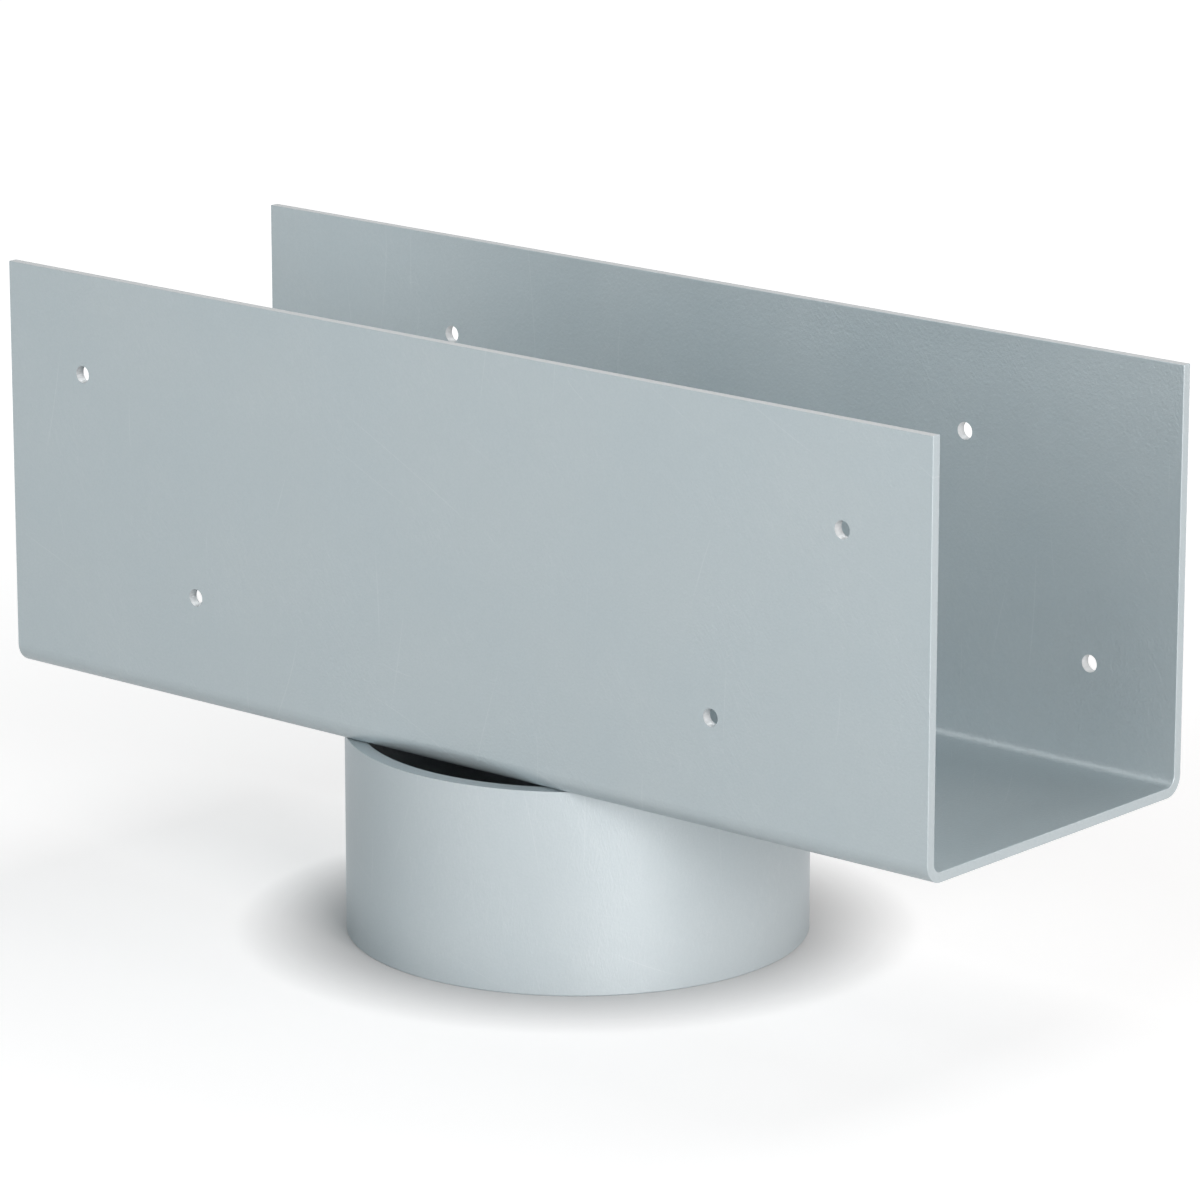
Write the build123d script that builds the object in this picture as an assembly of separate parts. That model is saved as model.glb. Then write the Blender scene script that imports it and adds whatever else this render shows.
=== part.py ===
from build123d import *
import os
from math import degrees, hypot

# Column cap that seats a timber beam on the head of a round steel column. A saddle, folded
# up from one plate, holds the beam, and a short sleeve below it slips over the column.
# Two fillet welds, under the saddle and outside the sleeve, join the two.
# Millimetres. The origin is the centre of the sleeve's foot, X runs along the beam, Y across
# it, and Z up.

# Saddle: a plate folded up along both sides into a U
plate_thickness = 2.5
saddle_length = 292.1
beam_pocket_width = 92.1  # clear between the flanges, for a beam 88.9 wide
flange_clear_height = 101.6  # from the saddle's floor up to the flanges' free edges
bend_inner_radius = 2.5
plate_edge_round = 0.2  # the sheared edges, dulled all round

# Fastener holes, four in each flange. The front and rear rows swap their insets, so that a
# fastener driven from one side misses the one driven from the other.
hole_diameter = 4.37
outer_hole_inset = 25.4  # from the saddle's end
inner_hole_inset = 63.5
upper_hole_drop = 25.4  # below the flange's free edge
lower_hole_drop = 76.2

# Sleeve: a length of round tube, open at the foot and closed above by the saddle
sleeve_outer_diameter = 114.3
sleeve_wall = 3.96
sleeve_height = 50.8
sleeve_foot_chamfer = 0.3  # the saw cut at the foot, deburred

# Fillet welds, one on each side of the sleeve, under the saddle
weld_leg = 4.0
weld_run = 60.0  # each bead's length along the sleeve's outside
weld_crown_setback = 3.0  # from the corner back to the centre of the bead's round face

# Worked out from the sizes above
sleeve_outer_radius = sleeve_outer_diameter / 2
sleeve_inner_radius = sleeve_outer_radius - sleeve_wall
saddle_half_width = beam_pocket_width / 2 + plate_thickness
saddle_half_length = saddle_length / 2
saddle_underside = sleeve_height
saddle_floor = saddle_underside + plate_thickness
flange_top = saddle_floor + flange_clear_height


def folded_plate():
    """The saddle's plate, folded along its two bends, with its sheared edges dulled."""
    half_width = (beam_pocket_width + plate_thickness) / 2
    bottom = saddle_underside + plate_thickness / 2
    with BuildPart() as plate:
        with BuildSketch(Plane.YZ):
            with BuildLine():
                FilletPolyline(  # the middle of the plate's thickness
                    (-half_width, flange_top),
                    (-half_width, bottom),
                    (half_width, bottom),
                    (half_width, flange_top),
                    radius=bend_inner_radius + plate_thickness / 2,
                )
            trace(line_width=plate_thickness)
        extrude(amount=saddle_half_length, both=True)
        end_faces = plate.faces().filter_by(Axis.X)
        free_edges = plate.faces().sort_by(Axis.Z)[-2:]
        fillet((end_faces + free_edges).edges(), plate_edge_round)
    return plate.part


def flange_holes(side, insets):
    """The drills for one flange. Side is -1 for the front flange and 1 for the rear one, and
    insets are the upper row's and the lower row's distance from the saddle's ends."""
    outer_face = Plane(
        origin=(0, side * saddle_half_width, flange_top),
        x_dir=(-side, 0, 0),
        z_dir=(0, side, 0),
    )
    centres = [
        (end * (saddle_half_length - inset), -drop)
        for inset, drop in zip(insets, (upper_hole_drop, lower_hole_drop))
        for end in (-1, 1)
    ]
    with BuildPart(outer_face) as drills:
        with Locations(*centres):
            Cylinder(
                hole_diameter / 2,
                2 * plate_thickness,
                align=(Align.CENTER, Align.CENTER, Align.CENTER),
            )
    return drills.part


def saddle():
    """The U-shaped saddle with its two staggered sets of fastener holes."""
    front = flange_holes(-1, (outer_hole_inset, inner_hole_inset))
    rear = flange_holes(1, (inner_hole_inset, outer_hole_inset))
    return folded_plate() - front - rear


def sleeve():
    """The round tube that slips over the column's head."""
    with BuildPart() as tube:
        with BuildSketch():
            Circle(sleeve_outer_radius)
            Circle(sleeve_inner_radius, mode=Mode.SUBTRACT)
        extrude(amount=sleeve_height)
        foot = tube.faces().sort_by(Axis.Z)[0]
        chamfer(foot.edges(), sleeve_foot_chamfer)
    return tube.part


def open_corner(solid):
    """Keep only what lies outside the sleeve and below the saddle."""
    size = 4 * sleeve_outer_radius
    base = (Align.CENTER, Align.CENTER, Align.MIN)
    tube = Cylinder(sleeve_outer_radius, size, align=base)
    plate = Pos(0, 0, saddle_underside) * Box(size, size, size, align=base)
    return solid - tube - plate


def weld_bead():
    """One convex fillet bead in the corner of sleeve and saddle, centred on +X: a length of
    ring with half a ball on each end, cut back to the sleeve and the saddle."""
    sweep_angle = degrees(weld_run / sleeve_outer_radius)
    ring_radius = sleeve_outer_radius - weld_crown_setback
    ring_height = saddle_underside + weld_crown_setback
    face_radius = hypot(weld_leg + weld_crown_setback, weld_crown_setback)
    section_centre = Plane.XZ * Pos(ring_radius, ring_height)
    disc = Circle(face_radius)
    outer_half = Rectangle(face_radius, 2 * face_radius, align=(Align.MIN, Align.CENTER))
    ball_axis = Axis((ring_radius, 0, 0), (0, 0, 1))
    ring = open_corner(revolve(section_centre * disc, Axis.Z, sweep_angle))
    cap = open_corner(revolve(section_centre * (disc & outer_half), ball_axis, 180))
    cap = cap.rotate(Axis.Z, sweep_angle / 2)
    return ring.rotate(Axis.Z, -sweep_angle / 2) + cap + mirror(cap, Plane.XZ)


def main():
    bead = weld_bead()
    nodes = {
        "saddle": saddle(),
        "column_sleeve": sleeve(),
        "weld_bead_right": bead,
        "weld_bead_left": bead.rotate(Axis.Z, 180),
    }
    os.makedirs("parts", exist_ok=True)
    for name, shape in nodes.items():
        export_step(shape, f"parts/{name}.step")


main()
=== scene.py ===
import bpy
import numpy as np
from math import cos, radians, sin
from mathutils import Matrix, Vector


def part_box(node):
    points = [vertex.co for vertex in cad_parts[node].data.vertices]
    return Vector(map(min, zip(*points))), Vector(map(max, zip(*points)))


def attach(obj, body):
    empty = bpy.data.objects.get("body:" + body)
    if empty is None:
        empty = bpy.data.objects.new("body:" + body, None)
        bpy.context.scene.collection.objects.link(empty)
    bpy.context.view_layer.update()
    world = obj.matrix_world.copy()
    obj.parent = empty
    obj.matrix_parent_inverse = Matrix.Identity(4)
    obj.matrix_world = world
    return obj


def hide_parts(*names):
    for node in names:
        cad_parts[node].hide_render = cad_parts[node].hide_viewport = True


# A galvanised column cap: a folded saddle for a timber beam on a short welded sleeve.
# Metres, in the model's own frame: X along the beam, Y across it, Z up the column.

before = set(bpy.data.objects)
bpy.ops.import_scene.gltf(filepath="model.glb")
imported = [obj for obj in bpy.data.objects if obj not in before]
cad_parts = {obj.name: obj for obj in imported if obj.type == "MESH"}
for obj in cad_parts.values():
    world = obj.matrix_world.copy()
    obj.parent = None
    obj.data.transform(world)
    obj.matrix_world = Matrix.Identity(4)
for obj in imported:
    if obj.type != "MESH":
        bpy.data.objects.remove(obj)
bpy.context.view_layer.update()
print("stage 1: frame loaded,", len(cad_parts), "nodes")

# lengths that come from the model's own boxes
saddleLow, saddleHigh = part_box("saddle")
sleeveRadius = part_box("column_sleeve")[1].x
underside = saddleLow.z  # the height where sleeve and saddle meet


# camera: a long lens a metre and a half away, to the right of the front and a little above
viewpoint = {
    "place": (0.96446, -1.11016, 0.47162),
    "lookAt": (0.00411, 0.00354, 0.08268),
    "lensMm": 187.21,
    "sensorMm": 36.0,
    "farthest": 50.0,  # nothing beyond this distance is drawn
}


def aimAt(thing, place, target):
    # minus Z of the thing points from its place to the target, with its Y as upright as it can be
    thing.location = place
    direction = Vector(target) - Vector(place)
    thing.rotation_euler = direction.to_track_quat("-Z", "Y").to_euler()


def addCamera(setting):
    data = bpy.data.cameras.new("photoCamera")
    data.lens = setting["lensMm"]
    data.sensor_width = setting["sensorMm"]
    data.clip_end = setting["farthest"]
    camera = bpy.data.objects.new("photoCamera", data)
    bpy.context.scene.collection.objects.link(camera)
    aimAt(camera, setting["place"], setting["lookAt"])
    bpy.context.scene.camera = camera


addCamera(viewpoint)
print("stage 2: camera placed")


# node helpers
white = (1.0, 1.0, 1.0, 1.0)
noiseMiddle = (0.3, 0.7)  # most of a noise's values lie between these two


def newMaterial(name):
    material = bpy.data.materials.new(name)
    material.use_nodes = True
    material.node_tree.nodes.clear()
    return material, material.node_tree


def addNode(tree, kind, settings=None, **inputs):
    # one node: settings are its own properties, inputs are values or the sockets that feed it,
    # each by its name, with an underscore for a space, or by its number after an underscore
    node = tree.nodes.new(kind)
    for key, value in (settings or {}).items():
        setattr(node, key, value)
    for key, value in inputs.items():
        socket = node.inputs[int(key[1:])] if key[0] == "_" else node.inputs[key.replace("_", " ")]
        if isinstance(value, bpy.types.NodeSocket):
            tree.links.new(value, socket)
        else:
            socket.default_value = value
    return node


def workOut(tree, operation, first, second=0.0):
    # one sum or comparison of one or two values
    return addNode(tree, "ShaderNodeMath", {"operation": operation}, _0=first, _1=second).outputs[0]


def remap(tree, value, fromLow, fromHigh, toLow, toHigh):
    # straight line from one range to the other, held at its ends
    node = addNode(tree, "ShaderNodeMapRange", {"clamp": True}, Value=value, From_Min=fromLow,
                   From_Max=fromHigh, To_Min=toLow, To_Max=toHigh)
    return node.outputs["Result"]


def noiseField(tree, coordinates, scale, detail, **more):
    return addNode(tree, "ShaderNodeTexNoise", Vector=coordinates, Scale=scale, Detail=detail,
                   **more).outputs["Fac"]


def mixColours(tree, share, first, second):
    return addNode(tree, "ShaderNodeMix", {"data_type": "RGBA"}, _0=share, _6=first,
                   _7=second).outputs[2]


def paler(tree, colour, field, most):
    # the colour goes towards white by the field, at most by the given share
    return mixColours(tree, remap(tree, field, 0.0, 1.0, 0.0, most), colour, white)


def addBump(tree, height, distance, normal=None):
    feeds = {"Strength": 1.0, "Distance": distance, "Height": height}
    if normal is not None:
        feeds["Normal"] = normal
    return addNode(tree, "ShaderNodeBump", **feeds).outputs["Normal"]


# zinc coating: pale bluish grey and satin, with faint clouding, a fine orange peel, patches of
# short scuffs and a few long scratches
zincCoat = {
    "coolGrey": (0.473, 0.550, 0.579, 1.0),
    "warmGrey": (0.486, 0.559, 0.585, 1.0),
    "cloudsPerMetre": 28.0,
    "cloudRange": (0.35, 0.65),  # from the cool to the warm grey
    "cloudRoughness": 0.55,
    "roughness": (0.34, 0.40),
    "metallic": 0.3,
    "edgeShine": white,  # colour of the metal's glancing reflections
    "grainPerMetre": 1900.0,
    "grainShine": 0.035,
    "peelPerMetre": 1400.0,
    "peelHeight": 0.00007,
    "wavesPerMetre": 160.0,
    "waveHeight": 0.00004,
    "patchesPerMetre": 40.0,  # patches of the sheet that have scuffs at all
    "patchRange": (0.42, 0.60),
    "scuffTurns": (50.0, 66.0),
    "scuffSize": (0.0032, 0.0032, 0.00040),
    "scuffRange": (0.50, 0.75),
    "scuffBend": 0.6,  # how wavy a scuff is
    "scuffDepth": 0.000014,
    "scuffShine": 0.03,
    "scratchTurns": (86.0, 98.0, 27.0),
    "scratchSize": (0.110, 0.110, 0.014),
    "scratchWidth": 0.00022,
    "scratchBreaks": 3.0,  # how often a scratch breaks off along its way
    "scratchRange": (0.63, 0.74),
    "scratchShine": 0.075,
}

# what the folded sheet has besides
sheetDetail = {
    # partly bare steel, partly a painted sheen: these faces get a paler, more neutral grey for the
    # light they catch
    "cutGreyAndSheen": (0.61, 0.640, 0.652, 1.0),  # sheared top edges and walls of punched holes
    "cutAbove": underside + 0.010,  # both bends end below this height
    "cutFacing": (0.35, 0.60),  # how far a cut face may turn towards the sheet's sides
    "endMargin": 0.0003,  # the faces at the sheet's two ends keep its coat
    "peelInside": 0.00011,  # the peel's height between the flanges
    "sideMargin": 0.001,  # from the outside to a place within the sheet's thickness
    "sideBlend": 0.0002,
}

# the tube's coat is painted a little paler, as painted light for the bounce light it gets from
# below, and is smoother, darker at its rims, and scuffed down its length
tubeCoatWithPaintedLight = dict(
    zincCoat, coolGrey=(0.520, 0.592, 0.620, 1.0), warmGrey=(0.534, 0.602, 0.627, 1.0),
    peelHeight=0.00003, scuffTurns=(78.0, 100.0), edgeShine=(0.68, 0.71, 0.73, 1.0))


def turnAndStretch(tree, coordinates, turn, size):
    # the coordinates in a frame that is turned about Y, by a third of that about Z, and stretched
    return addNode(tree, "ShaderNodeMapping", {"vector_type": "TEXTURE"}, Vector=coordinates,
                   Rotation=(0.0, radians(turn), radians(turn) / 3), Scale=size).outputs["Vector"]


def scuffField(tree, coordinates, turn, look):
    # noise drawn out along two directions, and kept only where it peaks, leaves short thin lines
    turned = turnAndStretch(tree, coordinates, turn, look["scuffSize"])
    noise = noiseField(tree, turned, 1.0, 1.0, Distortion=look["scuffBend"])
    return remap(tree, noise, *look["scuffRange"], 0.0, 1.0)


def scratchField(tree, coordinates, turn, look):
    # long thin lines: a drawn-out noise passes through its middle value between two places that lie
    # a width apart, and a second noise keeps only a few stretches of these lines
    size = look["scratchSize"]
    turned = turnAndStretch(tree, coordinates, turn, size)
    beside = addNode(tree, "ShaderNodeVectorMath", {"operation": "ADD"}, _0=turned,
                     _1=(0.0, 0.0, look["scratchWidth"] / size[2])).outputs["Vector"]
    sides = [workOut(tree, "SUBTRACT", noiseField(tree, place, 1.0, 0.0), 0.5)
             for place in (turned, beside)]
    line = workOut(tree, "LESS_THAN", workOut(tree, "MULTIPLY", *sides), 0.0)
    kept = noiseField(tree, turned, look["scratchBreaks"], 0.0)
    return workOut(tree, "MULTIPLY", line, remap(tree, kept, *look["scratchRange"], 0.0, 1.0))


def cutAndSheenFaces(tree, sheet):
    # 1 on sheared top edges and the walls of punched holes, and 0 elsewhere: those faces don't look
    # out of the sheet's sides, and lie above its bends and between its two ends. The paler grey
    # they get is partly bare steel and partly a painted sheen.
    texture = addNode(tree, "ShaderNodeTexCoord").outputs
    facing = addNode(tree, "ShaderNodeSeparateXYZ", Vector=texture["Normal"]).outputs
    across = remap(tree, workOut(tree, "ABSOLUTE", facing["Y"]), *sheet["cutFacing"], 1.0, 0.0)
    place = addNode(tree, "ShaderNodeSeparateXYZ", Vector=texture["Object"]).outputs
    above = workOut(tree, "GREATER_THAN", place["Z"], sheet["cutAbove"])
    inside = workOut(tree, "LESS_THAN", workOut(tree, "ABSOLUTE", place["X"]),
                   saddleHigh.x - sheet["endMargin"])
    return workOut(tree, "MULTIPLY", across, workOut(tree, "MULTIPLY", above, inside))


def peelDepth(tree, coordinates, look, sheet):
    # the peel's height, more on the side of the sheet that lies between the flanges
    across = addNode(tree, "ShaderNodeSeparateXYZ", Vector=coordinates).outputs["Y"]
    within = saddleHigh.y - sheet["sideMargin"]
    return remap(tree, workOut(tree, "ABSOLUTE", across), within - sheet["sideBlend"], within,
                 sheet["peelInside"], look["peelHeight"])


def zincMaterial(name, look, sheet=None):
    material, tree = newMaterial(name)
    coordinates = addNode(tree, "ShaderNodeTexCoord").outputs["Object"]
    clouds = noiseField(tree, coordinates, look["cloudsPerMetre"], 3.0,
                        Roughness=look["cloudRoughness"])
    colour = mixColours(tree, remap(tree, clouds, *look["cloudRange"], 0.0, 1.0), look["coolGrey"],
                        look["warmGrey"])
    roughness = remap(tree, clouds, *noiseMiddle, *look["roughness"])
    peelHeight = look["peelHeight"]
    if sheet:
        # painted sheen, in part: the cut faces take the paler grey
        colour = mixColours(tree, cutAndSheenFaces(tree, sheet), colour, sheet["cutGreyAndSheen"])
        peelHeight = peelDepth(tree, coordinates, look, sheet)
    grain = noiseField(tree, coordinates, look["grainPerMetre"], 1.0)
    colour = paler(tree, colour, remap(tree, grain, *noiseMiddle, 0.0, 1.0), look["grainShine"])
    waves = noiseField(tree, coordinates, look["wavesPerMetre"], 1.0)
    normal = addBump(tree, waves, look["waveHeight"])
    peel = noiseField(tree, coordinates, look["peelPerMetre"], 2.0, Roughness=0.5)
    normal = addBump(tree, peel, peelHeight, normal)
    patches = noiseField(tree, coordinates, look["patchesPerMetre"], 2.0)
    patches = remap(tree, patches, *look["patchRange"], 0.0, 1.0)
    for turn in look["scuffTurns"]:
        scuffs = workOut(tree, "MULTIPLY", scuffField(tree, coordinates, turn, look), patches)
        normal = addBump(tree, scuffs, look["scuffDepth"], normal)
        colour = paler(tree, colour, scuffs, look["scuffShine"])
    for turn in look["scratchTurns"]:
        scratches = scratchField(tree, coordinates, turn, look)
        colour = paler(tree, colour, scratches, look["scratchShine"])
    shader = addNode(tree, "ShaderNodeBsdfPrincipled", Base_Color=colour, Metallic=look["metallic"],
                     Roughness=roughness, Specular_Tint=look["edgeShine"], Normal=normal)
    addNode(tree, "ShaderNodeOutputMaterial", Surface=shader.outputs["BSDF"])
    return material


def dress(node, material):
    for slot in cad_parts[node].material_slots:
        slot.material = material


dress("saddle", zincMaterial("galvanisedSheet", zincCoat, sheetDetail))
# the sleeve's zinc is the saddle's, painted paler as painted light
dress("column_sleeve", zincMaterial("galvanisedTube", tubeCoatWithPaintedLight))
print("stage 3: zinc coating on the saddle and the sleeve")


# weld beads: two runs of rippled weld metal in the corner between sleeve and saddle
weldRun = {
    "run": 0.060,  # full section, along the sleeve's outside
    "capRadius": 0.0070,
    "crownSetback": 0.0030,  # how far the face's centre lies behind the sleeve's wall and the plate
    "ripplePitch": 0.0015,
    "rippleHeight": 0.00013,
    "rippleLag": 0.6,  # how far each ripple trails at the toes, in pitches
    "paceWaves": ((0.0003, 330), (0.0002, 900)),  # uneven pace of the ripples: how far, how often
    "wander": 0.00012,  # the bead's slight thick and thin: how far
    "wanderWaves": (260, 610),  # and how often
    "toeSink": 0.00008,  # how deep the bead lies in both pieces, so that no light shows between
    "stepsAlong": 420,
    "stepsAcross": 18,
    "stepsPerBack": 4,
}

weldCoat = dict(
    zincCoat, coolGrey=(0.40, 0.45, 0.47, 1.0), warmGrey=(0.46, 0.50, 0.515, 1.0),
    roughness=(0.40, 0.50), cloudsPerMetre=220.0)


def weldSurface(run, side, seed):
    # A closed profile is carried along an arc around the sleeve, with root, sleeve and plate as its
    # corner. Across it, the face is an arc of a circle whose centre lies behind the corner by the
    # setback in both directions, from the toe on the plate to the toe on the sleeve. Beyond the run
    # the face is a ball: its radius is the root of a fixed square less the square of the way past
    # the run's end, so both legs shrink to nothing there. Ripples stand out along the arc's radius,
    # a cosine of the way along that lags towards both toes. Two straight backs close the profile.
    setback = run["crownSetback"]
    faceSquare = run["capRadius"] ** 2 + setback ** 2
    capLength = np.sqrt(run["capRadius"] ** 2 - setback ** 2)
    half = run["run"] / 2 + capLength
    along = half * np.sin(np.linspace(-np.pi / 2, np.pi / 2, run["stepsAlong"] + 1))[1:-1, None]
    across = np.linspace(0.0, 1.0, run["stepsAcross"] + 1)[None, :]
    past = np.clip(np.abs(along) - run["run"] / 2, 0.0, capLength)
    faceRadius = np.sqrt(faceSquare - past ** 2)
    toeAngle = np.arcsin(setback / faceRadius)
    faceAngle = toeAngle + across * (np.pi / 2 - 2 * toeAngle)
    grown = 1.0 - (past / capLength) ** 2
    phases = np.random.default_rng(seed).uniform(0.0, 2 * np.pi, 4)
    (slowWay, slow), (quickWay, quick) = run["paceWaves"]
    pace = (along + slowWay * np.sin(along * slow + phases[0])
            + quickWay * np.sin(along * quick + phases[1]))
    trail = run["rippleLag"] * (2 * across - 1) ** 2
    ripple = run["rippleHeight"] * np.cos(2 * np.pi * (pace / run["ripplePitch"] + trail))
    slow, quick = run["wanderWaves"]
    swell = run["wander"] * (np.sin(along * slow + phases[2]) + np.sin(along * quick + phases[3]))
    reach = faceRadius + grown * np.sqrt(np.sin(np.pi * across)) * (ripple + swell)
    outFace = reach * np.cos(faceAngle) - setback
    downFace = reach * np.sin(faceAngle) - setback
    back = np.linspace(0.0, 1.0, run["stepsPerBack"] + 1)
    sleeveBack = downFace[:, -1:] * (1 - back[1:])
    plateBack = outFace[:, :1] * back[1:-1]
    out = np.hstack([outFace, np.zeros_like(sleeveBack), plateBack]) - run["toeSink"]
    down = np.hstack([downFace, sleeveBack, np.zeros_like(plateBack)]) - run["toeSink"]
    radius = sleeveRadius + out
    angle = along / sleeveRadius
    points = np.stack(
        [side * radius * np.cos(angle), side * radius * np.sin(angle), underside - down], axis=-1)
    return points, half / sleeveRadius


def closedTube(name, rings, startPoint, endPoint):
    # rings of points, each joined to the next, with a fan of triangles to one point at each end
    ringCount, ringSize = rings.shape[:2]
    first = np.arange(ringCount * ringSize).reshape(ringCount, ringSize)
    turned = np.roll(first, -1, axis=1)
    walls = np.stack([first[:-1], turned[:-1], turned[1:], first[1:]], axis=-1).reshape(-1, 4)
    startIndex, endIndex = ringCount * ringSize, ringCount * ringSize + 1
    startFan = np.stack([np.full(ringSize, startIndex), turned[0], first[0]], axis=-1)
    endFan = np.stack([np.full(ringSize, endIndex), first[-1], turned[-1]], axis=-1)
    points = np.vstack([rings.reshape(-1, 3), [startPoint, endPoint]])
    mesh = bpy.data.meshes.new(name)
    mesh.from_pydata(points.tolist(), [], walls.tolist() + startFan.tolist() + endFan.tolist())
    mesh.polygons.foreach_set("use_smooth", [True] * len(mesh.polygons))
    mesh.update()
    piece = bpy.data.objects.new(name, mesh)
    bpy.context.scene.collection.objects.link(piece)
    return piece


def addWeld(name, node, side, seed, material):
    # side is 1 on the sleeve's right and -1 on its left, and the seed sets the ripples' phases
    rings, endAngle = weldSurface(weldRun, side, seed)
    root = sleeveRadius - weldRun["toeSink"]
    ends = [(side * root * cos(angle), side * root * sin(angle), underside + weldRun["toeSink"])
            for angle in (-endAngle, endAngle)]
    bead = closedTube(name, rings, *ends)
    bead.data.materials.append(material)
    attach(bead, "root")
    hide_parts(node)


weldMaterial = zincMaterial("weldMetal", weldCoat)
addWeld("weldRight", "weld_bead_right", 1, 11, weldMaterial)
addWeld("weldLeft", "weld_bead_left", -1, 12, weldMaterial)
print("stage 4: weld beads")


# floor: one large pale sheet, white to the camera, that keeps the cap's soft shadow and adds
# painted shade round it
floorSheet = {
    "half": 8.0,
    "colour": (0.54, 0.54, 0.54, 1.0),
    # painted shade: the glow is lower near the cap than far away, which darkens the floor round it
    # and the metal's reflections of it
    "glowNear": 0.66,
    "glowFar": 0.92,
    # painted shadow: the glow rises only outside the sleeve's foot, leaving a dark ring round it
    # that the tube and the bend reflect
    "glowMouth": (0.052, 0.085),  # where the glow starts, so that the sleeve's hollow stays dark
    "glowReach": (0.15, 0.60),  # and grows from near to far between these
}


def seenRays(tree):
    # 1 for what the camera sees itself, in a reflection or through something, and 0 for soft light
    path = addNode(tree, "ShaderNodeLightPath").outputs
    mirrored = workOut(tree, "MAXIMUM", path["Is Glossy Ray"], path["Is Transmission Ray"])
    return workOut(tree, "MAXIMUM", path["Is Camera Ray"], mirrored)


def addFloor(setting):
    # a flat square, its corners at plus and minus half along X and Y, at the height of the sleeve's
    # foot; what is seen of it glows by its distance from the middle, as near plus a rise to far
    half = setting["half"]
    corners = np.array([(-1, -1, 0), (1, -1, 0), (1, 1, 0), (-1, 1, 0)], float) * half
    mesh = bpy.data.meshes.new("floorSheet")
    mesh.from_pydata(corners.tolist(), [], [(0, 1, 2, 3)])
    floor = bpy.data.objects.new("floorSheet", mesh)
    bpy.context.scene.collection.objects.link(floor)
    material, tree = newMaterial("paleFloor")
    paper = addNode(tree, "ShaderNodeBsdfDiffuse", Color=setting["colour"])
    place = addNode(tree, "ShaderNodeTexCoord").outputs["Object"]
    distance = addNode(tree, "ShaderNodeVectorMath", {"operation": "LENGTH"},
                       _0=place).outputs["Value"]
    # painted shade: the glow is gone at the sleeve's foot and lower near the cap
    near = remap(tree, distance, *setting["glowMouth"], 0.0, setting["glowNear"])
    rise = setting["glowFar"] - setting["glowNear"]
    far = remap(tree, distance, *setting["glowReach"], 0.0, rise)
    glow = addNode(tree, "ShaderNodeEmission", Strength=workOut(tree, "ADD", near, far))
    lit = addNode(tree, "ShaderNodeAddShader", _0=paper.outputs["BSDF"],
                  _1=glow.outputs["Emission"])
    shown = addNode(tree, "ShaderNodeMixShader", _0=seenRays(tree), _1=paper.outputs["BSDF"],
                    _2=lit.outputs["Shader"])
    addNode(tree, "ShaderNodeOutputMaterial", Surface=shown.outputs["Shader"])
    mesh.materials.append(material)


addFloor(floorSheet)

# lamps, all square: azimuth in degrees from the front towards the right, degrees above the floor,
# metres away from the cap, and the square's side
lamps = [
    {"name": "keyRight", "azimuth": 64.0, "height": 13.0, "away": 2.0, "side": 0.875,
     "watts": 33.0, "colour": (1.0, 0.94, 0.925)},
    {"name": "frontSoft", "azimuth": 0.0, "height": 25.0, "away": 1.6, "side": 1.0,
     "watts": 5.9, "colour": (0.95, 0.985, 1.0)},
    {"name": "frontHigh", "azimuth": 0.0, "height": 48.0, "away": 1.6, "side": 1.0,
     "watts": 2.2, "colour": (0.80, 0.945, 1.0)},
    {"name": "backHigh", "azimuth": 180.0, "height": 62.0, "away": 1.6, "side": 1.0,
     "watts": 8.0, "colour": (0.94, 0.93, 0.92)},
    {"name": "backRight", "azimuth": 125.0, "height": 30.0, "away": 1.6, "side": 0.8,
     "watts": 1.5, "colour": (1.0, 0.94, 0.92)},
]
lampTarget = Vector((0.0, 0.0, 0.08))  # about the cap's middle
skyStrength = {"soft": 0.02, "seen": 1.0}


def addLamp(setting):
    azimuth, height = radians(setting["azimuth"]), radians(setting["height"])
    outward = Vector((sin(azimuth) * cos(height), -cos(azimuth) * cos(height), sin(height)))
    data = bpy.data.lights.new(setting["name"], "AREA")
    data.size = setting["side"]
    data.energy = setting["watts"]
    data.color = setting["colour"]
    lamp = bpy.data.objects.new(setting["name"], data)
    bpy.context.scene.collection.objects.link(lamp)
    aimAt(lamp, lampTarget + outward * setting["away"], lampTarget)


def addSky(strength):
    # the camera and every reflection see plain white, and soft light gets a faint even sky
    world = bpy.data.worlds.new("studioSky")
    world.use_nodes = True
    tree = world.node_tree
    tree.nodes.clear()
    soft = addNode(tree, "ShaderNodeBackground", Color=white, Strength=strength["soft"])
    seen = addNode(tree, "ShaderNodeBackground", Color=white, Strength=strength["seen"])
    shown = addNode(tree, "ShaderNodeMixShader", _0=seenRays(tree), _1=soft.outputs["Background"],
                    _2=seen.outputs["Background"])
    addNode(tree, "ShaderNodeOutputWorld", Surface=shown.outputs["Shader"])
    bpy.context.scene.world = world


for lampSetting in lamps:
    addLamp(lampSetting)
addSky(skyStrength)
bpy.context.scene.view_settings.view_transform = "Standard"
print("stage 5: floor, lamps and sky")
